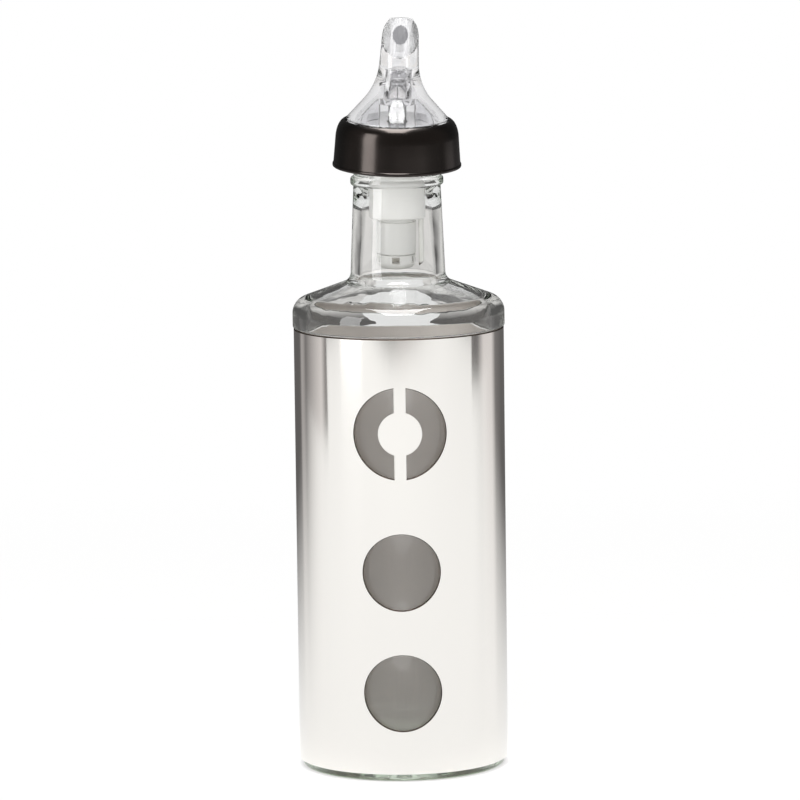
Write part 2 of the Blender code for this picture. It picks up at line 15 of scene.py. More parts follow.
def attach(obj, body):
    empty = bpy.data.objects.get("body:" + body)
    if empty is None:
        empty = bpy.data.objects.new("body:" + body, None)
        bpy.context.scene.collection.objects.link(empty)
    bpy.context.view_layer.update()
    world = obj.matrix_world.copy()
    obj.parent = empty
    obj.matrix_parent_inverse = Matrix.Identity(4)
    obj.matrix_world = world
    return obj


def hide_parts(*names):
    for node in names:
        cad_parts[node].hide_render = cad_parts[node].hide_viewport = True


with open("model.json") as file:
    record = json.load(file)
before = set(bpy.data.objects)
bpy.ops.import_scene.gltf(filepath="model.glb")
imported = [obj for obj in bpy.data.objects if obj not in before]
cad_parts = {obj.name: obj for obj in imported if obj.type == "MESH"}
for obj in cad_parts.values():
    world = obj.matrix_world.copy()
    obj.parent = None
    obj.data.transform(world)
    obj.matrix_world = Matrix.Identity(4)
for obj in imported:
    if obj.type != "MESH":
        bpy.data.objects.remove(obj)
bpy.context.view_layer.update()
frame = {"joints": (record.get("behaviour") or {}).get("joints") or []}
mm = 0.001

# Bottle
# Clear soda-lime glass, blown in a mould: a thick base with a push-up, a shoulder that stands out
# over the sleeve, a tapered neck and a bead under the mouth. Its inside was never touched by the
# mould, so it is a little uneven, and the thick edges look green.
shoulder_radius = 35.3
body_radius = 33.9  # below the shoulder, inside the sleeve
glass_wall = 2.8
inside_radius = body_radius - glass_wall
bearing_radius = 26.9  # inner edge of the flat ring that the bottle stands on
push_up_radius = 24.9
push_up_height = 2.0
floor_level = 6.5
floor_edge = 24.6  # inside this the floor rises a little to its middle
floor_middle = 16.0
middle_radius = 3.0  # of the flat discs that shut the outline on the bottle's axis
neck_foot_radius = 15.85
neck_top_radius = 14.5
neck_wall = 2.9
bead_radius = 15.45
finish_radius = 14.4  # between the bead and the rim
mouth_radius = 9.45
ledge_level = 147.8  # where the shoulder steps out over the sleeve
shoulder_level = ledge_level + 8.55
neck_foot_level = shoulder_level + 7.15
neck_top_level = neck_foot_level + 31.5
bead_level = neck_top_level + 3.0
rim_level = bead_level + 13.6
bore_foot_level = rim_level - 17.6
throat_level = bore_foot_level - 5.0
inner_shoulder_level = shoulder_level - 1.55
inner_neck_level = neck_foot_level - 2.024
inner_heel_round = 5.6
shoulder_round = 3.6
neck_round = 2.2
inner_neck_round = 2.4
bead_round = 0.9
bead_seam_round = 0.09
rim_round = 1.2
mouth_round = 0.7
ledge_round = 0.5
heel_round = 1.2
bearing_round = 0.7
push_up_round = 1.0
wave_length = 22  # of the uneven inside
wave_depth = 0.12
same_place = 0.002  # two points that are closer than this lie in one place


def deselect():
    """Leaves nothing selected, so that an operator acts on the next piece alone."""
    if bpy.context.object and bpy.context.object.mode != "OBJECT":
        bpy.ops.object.mode_set(mode="OBJECT")
    bpy.ops.object.select_all(action="DESELECT")


def choose(piece):
    """Leaves one piece selected and active."""
    deselect()
    piece.select_set(True)
    bpy.context.view_layer.objects.active = piece


def open_mesh(piece):
    """Takes one piece into edit mode."""
    choose(piece)
    bpy.ops.object.mode_set(mode="EDIT")


def settle():
    """Writes the new piece's place, turn and size into its mesh, and gives the piece."""
    bpy.ops.object.transform_apply(location=True, rotation=True, scale=True)
    return bpy.context.object


def pick(kind, wanted):
    """Selects the points, edges or faces that wanted() accepts, in edit mode."""
    bpy.ops.mesh.select_mode(type=kind)
    bpy.ops.mesh.select_all(action="DESELECT")
    mesh = bpy.context.object.data
    shape = bmesh.from_edit_mesh(mesh)
    for item in {"VERT": shape.verts, "EDGE": shape.edges, "FACE": shape.faces}[kind]:
        if wanted(item):
            item.select_set(True)
    bmesh.update_edit_mesh(mesh)


def from_axis(point):
    """How far a point of a turned piece lies from the axis."""
    return math.hypot(point.co.x, point.co.y)


def turned(name, corners, sides, ring=False):
    """A round piece: a circle, extruded and resized from corner to corner of its profile.

    A corner is (radius, height), with the size and steps of its round after them if it has one. A
    ring's profile ends where it began, and any other is shut by a flat disc at each end.
    """
    radius, height = corners[0][:2]
    deselect()
    bpy.ops.mesh.primitive_circle_add(vertices=sides, radius=radius * mm, location=(0, 0, height * mm))
    piece = settle()
    piece.name = piece.data.name = name

    def on_corner(edge):
        return all(abs(from_axis(point) - radius * mm) < same_place * mm
                   and abs(point.co.z - height * mm) < same_place * mm for point in edge.verts)

    bpy.ops.object.mode_set(mode="EDIT")
    bpy.ops.mesh.select_mode(type="EDGE")
    bpy.ops.mesh.select_all(action="SELECT")
    for next_radius, next_height, *_ in corners[1:] + (corners[:1] if ring else []):
        grow = next_radius / radius
        bpy.ops.mesh.extrude_edges_indiv()
        bpy.ops.transform.resize(value=(grow, grow, 1), center_override=(0, 0, 0))
        bpy.ops.transform.translate(value=(0, 0, (next_height - height) * mm))
        radius, height = next_radius, next_height
    if ring:
        bpy.ops.mesh.select_all(action="SELECT")
        bpy.ops.mesh.remove_doubles(threshold=same_place * mm)
    else:
        for radius, height, *_ in (corners[0], corners[-1]):
            pick("EDGE", on_corner)
            bpy.ops.mesh.edge_face_add()
    bpy.ops.mesh.select_all(action="SELECT")
    bpy.ops.mesh.normals_make_consistent(inside=False)
    for radius, height, *ease in corners:
        if ease:
            pick("EDGE", on_corner)
            bpy.ops.mesh.bevel(offset=ease[0] * mm, segments=ease[1], affect="EDGES")
    bpy.ops.object.mode_set(mode="OBJECT")
    return piece


def cut_rings(piece, radius, low, high, cuts):
    """Cuts an upright wall of a turned piece into rings, between two heights."""
    least_height = 1.0
    spare = 0.01

    def runs_up(edge):
        ends = sorted(point.co.z for point in edge.verts)
        upright = ends[1] - ends[0] > least_height * mm
        between = ends[0] > (low - spare) * mm and ends[1] < (high + spare) * mm
        return upright and between and all(
            abs(from_axis(point) - radius * mm) < same_place * mm for point in edge.verts)

    open_mesh(piece)
    pick("EDGE", runs_up)
    bpy.ops.mesh.subdivide(number_cuts=cuts)
    bpy.ops.object.mode_set(mode="OBJECT")


def finished(piece, body, node, sharp_deg=30):
    """Shades a piece, hangs it on its body and lets it stand for its solid."""
    choose(piece)
    bpy.ops.object.shade_smooth_by_angle(angle=math.radians(sharp_deg))
    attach(piece, body)
    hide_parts(node)


def colour(code):
    """An sRGB hex colour as the linear one that a shader takes."""
    parts = [int(code[place:place + 2], 16) / 255 for place in (1, 3, 5)]
    return (*(part / 12.92 if part <= 0.04045 else ((part + 0.055) / 1.055) ** 2.4 for part in parts), 1)


def add_node(tree, kind, values=None, links=None, **settings):
    """Adds a shader node with its settings, the values of its sockets and what feeds them.

    The kind is what follows ShaderNode in the node's type. A socket is fed by another node's socket,
    or by a node, which stands for its first one.
    """
    made = tree.nodes.new("ShaderNode" + kind)
    for name, value in settings.items():
        setattr(made, name, value)
    for socket, value in (values or {}).items():
        made.inputs[socket].default_value = value
    for socket, source in (links or {}).items():
        feed = source.outputs[0] if isinstance(source, bpy.types.Node) else source
        tree.links.new(feed, made.inputs[socket])
    return made


def new_material(name):
    """A material, its tree of nodes and the place on the piece, which its patterns follow."""
    made = bpy.data.materials.new(name)
    made.use_nodes = True
    made.node_tree.nodes.clear()
    return made, made.node_tree, add_node(made.node_tree, "TexCoord").outputs["Object"]


def coat(piece, made, shader, volume=None):
    """Ends a material with its shader and with what fills the piece, and gives it to the piece."""
    links = {"Surface": shader, "Volume": volume} if volume else {"Surface": shader}
    add_node(made.node_tree, "OutputMaterial", None, links)
    piece.data.materials.append(made)


def on_uneven_inside(point):
    """Whether a point lies on the inside of the body, clear of the floor's middle and the neck."""
    across = from_axis(point) / mm
    level = point.co.z / mm
    return 20 < across < inside_radius + 0.1 and floor_level + 1.5 < level < shoulder_level - 0.35


bottle = turned("glass_bottle", [
    (middle_radius, floor_level + 0.8), (floor_middle, floor_level + 0.5), (floor_edge, floor_level),
    (inside_radius, floor_level, inner_heel_round, 8),
    (inside_radius, inner_shoulder_level, shoulder_round, 6),
    (neck_foot_radius - neck_wall, inner_neck_level, inner_neck_round, 5),
    (neck_top_radius - neck_wall, throat_level, neck_round, 4),
    (mouth_radius, bore_foot_level, neck_round, 4),
    (mouth_radius, rim_level, mouth_round, 3), (finish_radius, rim_level, rim_round, 5),
    (finish_radius, bead_level), (bead_radius, bead_level, bead_round, 5),
    (bead_radius, neck_top_level, bead_round, 5), (neck_top_radius, neck_top_level, bead_seam_round, 1),
    (neck_foot_radius, neck_foot_level, neck_round, 6),
    (shoulder_radius, shoulder_level, shoulder_round, 9), (shoulder_radius, ledge_level, ledge_round, 3),
    (body_radius, ledge_level), (body_radius, 0.0, heel_round, 5), (bearing_radius, 0.0, bearing_round, 2),
    (push_up_radius, push_up_height, push_up_round, 3), (middle_radius, push_up_height + 0.4),
], sides=192)
cut_rings(bottle, inside_radius, floor_level + inner_heel_round, inner_shoulder_level - shoulder_round,
          cuts=44)
open_mesh(bottle)
pick("VERT", on_uneven_inside)
bpy.ops.object.vertex_group_assign_new()
bpy.ops.object.mode_set(mode="OBJECT")
waves = bpy.data.textures.new("uneven_glass", "CLOUDS")
waves.noise_scale = wave_length * mm
uneven = bottle.modifiers.new("Uneven inside", "DISPLACE")
uneven.texture = waves
uneven.vertex_group = bottle.vertex_groups[-1].name
uneven.strength = 2 * wave_depth * mm
uneven.mid_level = 0.5
bpy.ops.object.modifier_apply(modifier=uneven.name)

# Soda-lime glass: clear, with an index near 1.52 and a fire-polished skin, which is wavier up the
# neck. The iron in it takes out red and blue, which shows only where the eye looks through a
# centimetre or more of it, and most in the thick base. Light that goes on to something matt passes
# straight through, because the renderer would otherwise leave what stands behind the glass in a
# shadow that real glass doesn't cast.
glass, tree, place = new_material("soda_lime_glass")
upright = add_node(tree, "Mapping", {"Scale": (1.0, 1.0, 0.35)}, {"Vector": place})
ripple = add_node(tree, "TexNoise", {"Scale": 1 / (9 * mm), "Detail": 2.0}, {"Vector": upright})
axes = add_node(tree, "SeparateXYZ", None, {"Vector": place})
in_neck = add_node(tree, "MapRange", {
    "From Min": (neck_foot_level - 5.5) * mm, "From Max": (neck_foot_level + 2.5) * mm, "To Min": 0.5,
}, {"Value": axes.outputs["Z"]})
skin = add_node(tree, "Bump", {"Distance": 0.16 * mm}, {"Height": ripple, "Strength": in_neck})
above_base = add_node(tree, "MapRange", {
    "From Min": (push_up_height + 0.6) * mm, "From Max": (push_up_height + 2.5) * mm,
}, {"Value": axes.outputs["Z"]})
cast = add_node(tree, "Mix", {6: colour("#CFE4C9"), 7: colour("#FEFEFE")},
                {"Factor": above_base}, data_type="RGBA")
clear = add_node(tree, "BsdfPrincipled", {"Roughness": 0.01, "IOR": 1.52, "Transmission Weight": 1.0},
                 {"Base Color": cast.outputs[2], "Normal": skin})
tint = add_node(tree, "VolumeAbsorption", {"Color": (0.35, 0.60, 0.32, 1), "Density": 4.0})
rays = add_node(tree, "LightPath")
lights = add_node(tree, "Math", None, {
    0: rays.outputs["Is Shadow Ray"], 1: rays.outputs["Is Diffuse Ray"],
}, operation="MAXIMUM")
open_air = add_node(tree, "BsdfTransparent")
lit = add_node(tree, "MixShader", None, {0: lights, 1: clear, 2: open_air})
coat(bottle, glass, lit, tint)
finished(bottle, "bottle_body", "bottle", sharp_deg=32)

# Sleeve
# Stainless steel tube, 0.8 mm thick and open at both ends. The windows were cut out of the front,
# and then the outside was polished. The inside kept the brushed finish of the sheet.
sleeve_radius = shoulder_radius - 0.3
sheet = 0.8
sleeve_foot = 2.5  # the heel of the glass shows below it
sleeve_top = ledge_level - 0.3
top_bevel = 0.3
window_radius = 12.7
window_levels = (29.7, 70.05)
ring_window_radius = 15.15
ring_window_level = 116.2
ring_disc_radius = 7.25
ring_bar_width = 3.9
window_flare = 0.3  # the windows widen outwards by this, so that their dark cut edge shows from the front
cutter_length = 12.0


def put_cutter(piece, cutter, operation="DIFFERENCE"):
    """Cuts a tool out of a piece, or joins it on, and removes the tool."""
    choose(piece)
    step = piece.modifiers.new("Cut", "BOOLEAN")
    step.operation = operation
    step.solver = "EXACT"
    step.object = cutter
    bpy.ops.object.modifier_apply(modifier=step.name)
    bpy.data.objects.remove(cutter, do_unlink=True)


def window_cutter(radius, level, flare=0.0):
    """A round bar that passes through the front wall of the sleeve.

    With a flare it widens outwards, by that much over the sheet's thickness, and it is broader than
    it is high, because the curved sheet lies further back at the window's sides.
    """
    slope = flare / sheet
    sag = sleeve_radius - math.sqrt(sleeve_radius ** 2 - radius ** 2)
    outer_radius = radius + slope * (cutter_length / 2 + 0.2)
    inner_radius = radius - slope * (cutter_length / 2 - 0.2)
    deselect()
    bpy.ops.mesh.primitive_cone_add(
        vertices=128, radius1=outer_radius * mm, radius2=inner_radius * mm, depth=cutter_length * mm,
        location=(0, (sheet / 2 - sleeve_radius) * mm, level * mm), rotation=(-math.pi / 2, 0, 0),
        scale=(radius / (radius - slope * sag), 1, 1))
    return bpy.context.object


sleeve = turned("steel_sleeve", [
    (sleeve_radius - sheet, sleeve_top), (sleeve_radius, sleeve_top, top_bevel, 1),
    (sleeve_radius, sleeve_foot), (sleeve_radius - sheet, sleeve_foot),
], sides=320, ring=True)
for wall_radius in (sleeve_radius, sleeve_radius - sheet):
    cut_rings(sleeve, wall_radius, sleeve_foot, sleeve_top, cuts=35)
for window_level in window_levels:
    put_cutter(sleeve, window_cutter(window_radius, window_level, window_flare))
ring_window = window_cutter(ring_window_radius, ring_window_level, window_flare)
put_cutter(ring_window, window_cutter(ring_disc_radius, ring_window_level))

# the upright bar that holds the disc, as a block deeper and higher than the window
deselect()
bpy.ops.mesh.primitive_cube_add(size=1, location=(0, -34 * mm, ring_window_level * mm),
                                scale=(ring_bar_width * mm, 30 * mm, 40 * mm))
put_cutter(ring_window, bpy.context.object)
put_cutter(sleeve, ring_window)

# Polished stainless steel: a mirror with a warm cast, a little blurred by the buffing, which leaves
# faint vertical lines.
polished, tree, place = new_material("polished_stainless_steel")
stretch = add_node(tree, "Mapping", {"Scale": (1.0, 1.0, 0.02)}, {"Vector": place})
lines = add_node(tree, "TexNoise", {"Scale": 1 / (1.2 * mm), "Detail": 3.0}, {"Vector": stretch})
haze = add_node(tree, "TexNoise", {"Scale": 1 / (30 * mm), "Detail": 2.0}, {"Vector": place})
mix = add_node(tree, "Mix", {"Factor": 0.5}, {2: lines, 3: haze})
blur = add_node(tree, "MapRange", {"To Min": 0.07, "To Max": 0.11}, {"Value": mix})
skin = add_node(tree, "Bump", {"Strength": 0.2, "Distance": 0.01 * mm}, {"Height": haze})
steel = add_node(tree, "BsdfPrincipled", {"Base Color": colour("#F0EEEA"), "Metallic": 1.0},
                 {"Roughness": blur, "Normal": skin})
coat(sleeve, polished, steel)

# Brushed stainless steel: the sheet's own finish, satin, with vertical lines some 0.8 mm apart, which
# is coarser than the real ones, so that they show.
brushed, tree, place = new_material("brushed_stainless_steel")
stretch = add_node(tree, "Mapping", {"Scale": (1.0, 1.0, 0.012)}, {"Vector": place})
lines = add_node(tree, "TexNoise", {"Scale": 1 / (0.8 * mm), "Detail": 4.0}, {"Vector": stretch})
blur = add_node(tree, "MapRange", {"To Min": 0.32, "To Max": 0.50}, {"Value": lines})
shade = add_node(tree, "MapRange", {"To Min": 0.90, "To Max": 1.02}, {"Value": lines})
cast = add_node(tree, "Mix", {"Factor": 1.0, 6: colour("#E8E1DC")}, {7: shade},
                data_type="RGBA", blend_type="MULTIPLY")
steel = add_node(tree, "BsdfPrincipled", {"Metallic": 0.55},
                 {"Base Color": cast.outputs[2], "Roughness": blur})
coat(sleeve, brushed, steel)

# Cut edge of the sheet: bare and matt, and much darker. The window rims and the top edge show as a
# dark line, partly the edge's own darkness and partly painted shade from the gap under the glass.
cut_edge_and_shade, tree, place = new_material("cut_steel_edge_and_shade")
grain = add_node(tree, "TexNoise", {"Scale": 1 / (0.5 * mm)}, {"Vector": place})
blur = add_node(tree, "MapRange", {"To Min": 0.25, "To Max": 0.45}, {"Value": grain})
# painted shade in part: the edge is far darker than the polished face
steel = add_node(tree, "BsdfPrincipled", {"Base Color": colour("#54463D"), "Metallic": 1.0},
                 {"Roughness": blur})
coat(sleeve, cut_edge_and_shade, steel)


def paint(piece, slot_number, wanted):
    """Gives the faces that wanted() accepts the piece's material with this number."""
    open_mesh(piece)
    pick("FACE", wanted)
    piece.active_material_index = slot_number
    bpy.ops.object.material_slot_assign()
    bpy.ops.object.mode_set(mode="OBJECT")


def faces_out(face):
    """How squarely a face of the sleeve looks away from its axis: 1 outwards, -1 inwards."""
    middle = face.calc_center_median()
    return face.normal.dot(Vector((middle.x, middle.y, 0)).normalized())


paint(sleeve, 0, lambda face: True)
paint(sleeve, 1, lambda face: faces_out(face) < -0.8)
# the cut faces and the top bevel take the dark edge, which is in part painted shade
paint(sleeve, 2, lambda face: abs(faces_out(face)) < 0.8)
finished(sleeve, "sleeve_body", "sleeve")

# Stopper
# Soft milky polyethylene plug with four sealing ribs, pushed into the mouth. It holds the hard part
# of the pourer, which sits a little askew in it, so its top and its bore are tilted too.
stopper_radius = mouth_radius - 0.2
stopper_foot = rim_level - 27.6
flange_radius = 12.5
flange_level = rim_level + 0.3
uncut_top = 217.0  # before its top is cut off along the tilted plane
core_radius = 2.0  # of the flat ends that the bore takes away
groove_count = 4
first_groove = flange_level - 2.8
groove_pitch = 3.6
groove_height = 2.15
groove_depth = 0.35
groove_round = 0.3
bore_radius = 6.2
seat_level = 15.562  # the stopper's tilted top, where the collar sits
air_way = 7.9  # from the axis to the air hole and the breather tube
air_hole_radius = 0.6
air_socket_radius = 0.95
breather_grip = 6.0  # length of the breather tube that the stopper holds
turn_joint = next(joint for joint in frame["joints"] if joint["name"] == "pourer_turn")
pivot = Vector(turn_joint["pos_m"])
askew = Vector((0, 0, 1)).rotation_difference(Vector(turn_joint["axis"]))


def set_askew(piece):
    """Moves a piece from upright on the origin to its place round the pourer's tilted axis."""
    choose(piece)
    piece.rotation_mode = "QUATERNION"
    piece.rotation_quaternion = askew
    piece.location = pivot
    settle()


def round_bar(radius, low, high, x=0, sides=64):
    """An upright round bar between two heights, to cut with."""
    deselect()
    bpy.ops.mesh.primitive_cylinder_add(vertices=sides, radius=radius * mm, depth=(high - low) * mm,
                                        location=(x * mm, 0, (low + high) / 2 * mm))
    return settle()


plug_profile = [(core_radius, uncut_top), (flange_radius, uncut_top),
                (flange_radius, flange_level, 0.25, 2), (stopper_radius, flange_level)]
for groove in range(groove_count):
    groove_top = first_groove - groove * groove_pitch
    groove_foot = groove_top - groove_height
    plug_profile += [
        (stopper_radius, groove_top, groove_round, 2),
        (stopper_radius - groove_depth, groove_top - groove_depth),
        (stopper_radius - groove_depth, groove_foot + groove_depth),
        (stopper_radius, groove_foot, groove_round, 2),
    ]
plug_profile += [(stopper_radius, stopper_foot, 0.6, 3), (core_radius, stopper_foot)]
stopper = turned("pourer_stopper", plug_profile, sides=96)

# the bore for the hard part, and the cut that leaves the top square to it
for tilted_cutter in (round_bar(bore_radius, -30, 30), round_bar(30, seat_level, 40)):
    set_askew(tilted_cutter)
    put_cutter(stopper, tilted_cutter)
put_cutter(stopper, round_bar(air_hole_radius, 180, 220, air_way, 24))
put_cutter(stopper, round_bar(air_socket_radius, 180, stopper_foot + breather_grip + 0.3, air_way, 24))

# Polyethylene: milky, waxy and soft to the light, which sinks a few millimetres into it.
milky, tree, place = new_material("milky_polyethylene")
grain = add_node(tree, "TexNoise", {"Scale": 1 / (0.6 * mm), "Detail": 2.0}, {"Vector": place})
skin = add_node(tree, "Bump", {"Strength": 0.15, "Distance": 0.02 * mm}, {"Height": grain})
cloud = add_node(tree, "TexNoise", {"Scale": 1 / (6 * mm), "Detail": 2.0}, {"Vector": place})
tones = add_node(tree, "Mix", {6: colour("#F8F8F6"), 7: colour("#F1F0ED")},
                 {"Factor": cloud}, data_type="RGBA")
wax = add_node(tree, "BsdfPrincipled", {
    "Roughness": 0.42, "IOR": 1.51, "Subsurface Weight": 0.7, "Subsurface Radius": (1.0, 1.0, 1.0),
    "Subsurface Scale": 2.2 * mm,
}, {"Base Color": tones.outputs[2], "Normal": skin})
coat(stopper, milky, wax)
finished(stopper, "stopper_body", "stopper")

# Breather tube
# Thin pale plastic tube that lets air in beside the chamber. It is pushed into the stopper and cut
# off at a slant, where a little oil has stained it.
breather_radius = 0.85
breather_bore = 0.45
breather_top = stopper_foot + breather_grip
breather_foot = stopper_foot - 16.4
slant_level = breather_foot + 1.15
breather = turned("air_tube", [
    (breather_bore, breather_top), (breather_radius, breather_top, 0.1, 2),
    (breather_radius, breather_foot), (breather_bore, breather_foot),
], sides=32, ring=True)
open_mesh(breather)
bpy.ops.mesh.select_all(action="SELECT")
bpy.ops.mesh.bisect(plane_co=(0, 0, slant_level * mm), plane_no=(1.1, -0.35, -1), use_fill=True,
                    clear_outer=True)
bpy.ops.mesh.select_all(action="SELECT")
bpy.ops.transform.translate(value=(air_way * mm, 0, 0))
bpy.ops.object.mode_set(mode="OBJECT")

# Polypropylene: pale and smooth, with a brown stain of old oil on its lowest 2 mm.
pale, tree, place = new_material("stained_polypropylene")
axes = add_node(tree, "SeparateXYZ", None, {"Vector": place})
stain = add_node(tree, "MapRange", {
    "From Min": (breather_foot + 1.0) * mm, "From Max": (breather_foot + 1.9) * mm,
    "To Min": 1.0, "To Max": 0.0,
}, {"Value": axes.outputs["Z"]})
tones = add_node(tree, "Mix", {6: colour("#E2E2DE"), 7: colour("#4A4036")},
                 {"Factor": stain}, data_type="RGBA")
plastic = add_node(tree, "BsdfPrincipled", {"Roughness": 0.25, "IOR": 1.49},
                   {"Base Color": tones.outputs[2]})
coat(breather, pale, plastic)
finished(breather, "stopper_body", "breather_tube")

# Metering chamber
# Pale, half-clear moulded tube. Its stem is gripped by the stopper, the wider tail hangs below with
# the ball in it, and a socket on its roof takes the flow tube.
stem_radius = 6.0
chamber_radius = 6.7
chamber_bore = 5.2
chamber_top = 6.5
chamber_roof = 1.2
stem_foot = -14.9
tail_foot = stem_foot - 10.8
seat_hole = 2.4
socket_radius = 3.2
socket_wall = 1.2
socket_top = chamber_top + 5.5
cap_socket_radius = 5.85
cap_socket_top = tail_foot + 3.3
chamber = turned("ball_chamber", [
    (socket_radius, socket_top), (socket_radius + socket_wall, socket_top, 0.3, 2),
    (socket_radius + socket_wall, chamber_top), (stem_radius, chamber_top, 0.4, 2),
    (stem_radius, stem_foot), (chamber_radius, stem_foot, 0.3, 2), (chamber_radius, tail_foot, 0.15, 1),
    (cap_socket_radius, tail_foot), (cap_socket_radius, cap_socket_top), (chamber_bore, cap_socket_top),
    (chamber_bore, chamber_top - chamber_roof - (chamber_bore - seat_hole), 0.4, 2),
    (seat_hole, chamber_top - chamber_roof), (seat_hole, chamber_top), (socket_radius, chamber_top),
], sides=96, ring=True)
set_askew(chamber)

# Natural polypropylene: half clear, so that it glows and blurs what is inside.
natural, tree, place = new_material("natural_polypropylene")
cloud = add_node(tree, "TexNoise", {"Scale": 1 / (5 * mm), "Detail": 2.0}, {"Vector": place})
blur = add_node(tree, "MapRange", {"To Min": 0.16, "To Max": 0.30}, {"Value": cloud})
plastic = add_node(tree, "BsdfPrincipled", {
    "Base Color": colour("#FAFAF8"), "IOR": 1.49, "Transmission Weight": 0.3,
}, {"Roughness": blur})
coat(chamber, natural, plastic)
finished(chamber, "pourer_body", "metering_chamber")

# Chamber cap
# Cage of the same plastic, pushed into the tail. Six slots let the oil in, and its rounded end
# carries the ball in a cup.
cap_grip_radius = 5.65
cap_grip_top = tail_foot + 3.0
cap_top = tail_foot - 0.3
cap_foot = tail_foot - 5.1
cap_floor = cap_foot + 1.4
cap_round = 2.4
cup_radius = 5.05
cup_round = 3.0
drain_radius = 1.5
slot_size = 2.2
slot_level = cap_top - 1.55
slot_turns = [math.radians(30 + 60 * number) for number in range(6)]
cap = turned("chamber_cage", [
    (cap_grip_radius, cap_grip_top), (cap_grip_radius, cap_top), (chamber_radius, cap_top, 0.15, 1),
    (chamber_radius, cap_foot, cap_round, 7), (drain_radius, cap_foot), (drain_radius, cap_floor),
    (cup_radius, cap_floor, cup_round, 6), (cup_radius, cap_grip_top),
], sides=96, ring=True)
for slot_turn in slot_turns:
    deselect()
    bpy.ops.mesh.primitive_cube_add(
        size=1, rotation=(0, 0, slot_turn), scale=(chamber_radius * mm, slot_size * mm, slot_size * mm),
        location=(chamber_radius * mm * math.cos(slot_turn), chamber_radius * mm * math.sin(slot_turn),
                  slot_level * mm))
    put_cutter(cap, bpy.context.object)
set_askew(cap)
cap.data.materials.append(natural)
finished(cap, "pourer_body", "chamber_cap")

# Metering ball
# Nylon ball that sinks to its seat while the cruet is tipped. It was ground round, and the small
# flat where it left its mould still shows.
ball_radius = 4.75
ball_level = -24.353  # at rest in the cup
mould_flat = 0.04  # depth of the flat
deselect()
bpy.ops.mesh.primitive_uv_sphere_add(segments=64, ring_count=40, radius=ball_radius * mm,
                                     location=(0, 0, ball_level * mm))
ball = settle()
ball.name = ball.data.name = "nylon_ball"
open_mesh(ball)
bpy.ops.mesh.select_all(action="SELECT")
bpy.ops.mesh.bisect(plane_co=(0, 0, (ball_level + ball_radius - mould_flat) * mm), plane_no=(0, 0, 1),
                    use_fill=True, clear_outer=True)
bpy.ops.object.mode_set(mode="OBJECT")
set_askew(ball)

# Nylon: off-white, with a dull ground skin.
nylon, tree, place = new_material("ground_nylon")
grain = add_node(tree, "TexNoise", {"Scale": 1 / (0.3 * mm), "Detail": 2.0}, {"Vector": place})
skin = add_node(tree, "Bump", {"Strength": 0.3, "Distance": 0.01 * mm}, {"Height": grain})
dull = add_node(tree, "BsdfPrincipled",
                {"Base Color": colour("#EBE8E2"), "Roughness": 0.4, "IOR": 1.53}, {"Normal": skin})
coat(ball, nylon, dull)
finished(ball, "ball_body", "metering_ball", sharp_deg=60)

# Flow tube
# Clear tube from the chamber's socket up into the nozzle. Its head is wider, with a ring round its
# foot, and it follows the lean of the nozzle.
spout_foot = seat_level + 0.3
spout_flange_top = spout_foot + 1.4
collar_top = spout_flange_top + 1.7
dome_foot = collar_top + 0.5
crease_level = dome_foot + 11.15
lean_level = crease_level - 6.6  # where the nozzle begins to lean
lean_blend = 6.0  # height over which the lean comes in
lean_side_deg = 2.2
lean_forward_deg = 3.5
one_ring = 0.0002  # points whose heights differ by less are in one ring
nozzle_bore = 2.55
tube_head_radius = 4.6
tube_head_top = 36.0
tube_ring_radius = 6.2
tube_ring_top = 26.31
tube_ring_foot = tube_ring_top - 2.4
tube_stem_radius = 3.0
tube_stem_bore = 2.2
tube_stem_foot = chamber_top + 0.3


def nozzle_shift(height):
    """How far the leaning nozzle's axis lies from the pourer's, at a height in metres."""
    rise = max(height - lean_level * mm, 0)
    blend = lean_blend * mm
    along = rise ** 2 / (2 * blend) if rise < blend else rise - blend / 2
    return Vector((along * math.tan(math.radians(lean_side_deg)),
                   -along * math.tan(math.radians(lean_forward_deg)), 0))


def lean_over(piece):
    """Moves each ring of a turned piece sideways, so that it follows the nozzle's lean."""
    open_mesh(piece)
    shape = bmesh.from_edit_mesh(piece.data)
    heights = sorted({round(point.co.z, 7) for point in shape.verts if point.co.z > lean_level * mm})
    for height in heights:
        pick("VERT", lambda point: abs(point.co.z - height) < one_ring * mm)
        bpy.ops.transform.translate(value=nozzle_shift(height))
    bpy.ops.object.mode_set(mode="OBJECT")


flow_tube = turned("flow_tube_clear", [
    (nozzle_bore, tube_head_top), (tube_head_radius, tube_head_top, 0.2, 2),
    (tube_head_radius, tube_ring_top, 0.2, 2), (tube_ring_radius, tube_ring_top, 0.25, 2),
    (tube_ring_radius, tube_ring_foot, 0.25, 2), (tube_stem_radius, tube_ring_foot),
    (tube_stem_radius, tube_stem_foot), (tube_stem_bore, tube_stem_foot),
    (tube_stem_bore, tube_ring_foot), (tube_head_radius - 1.4, tube_ring_top),
], sides=96, ring=True)
lean_over(flow_tube)
set_askew(flow_tube)

# Styrene acrylonitrile: crystal clear and hard, with an index near 1.57.
crystal, tree, place = new_material("clear_styrene_acrylonitrile")
ripple = add_node(tree, "TexNoise", {"Scale": 1 / (6 * mm), "Detail": 1.0}, {"Vector": place})
skin = add_node(tree, "Bump", {"Strength": 0.15, "Distance": 0.02 * mm}, {"Height": ripple})
clear = add_node(tree, "BsdfPrincipled", {
    "Base Color": colour("#FDFDFE"), "Roughness": 0.02, "IOR": 1.57, "Transmission Weight": 1.0,
}, {"Normal": skin})
coat(flow_tube, crystal, clear)
finished(flow_tube, "pourer_body", "flow_tube")

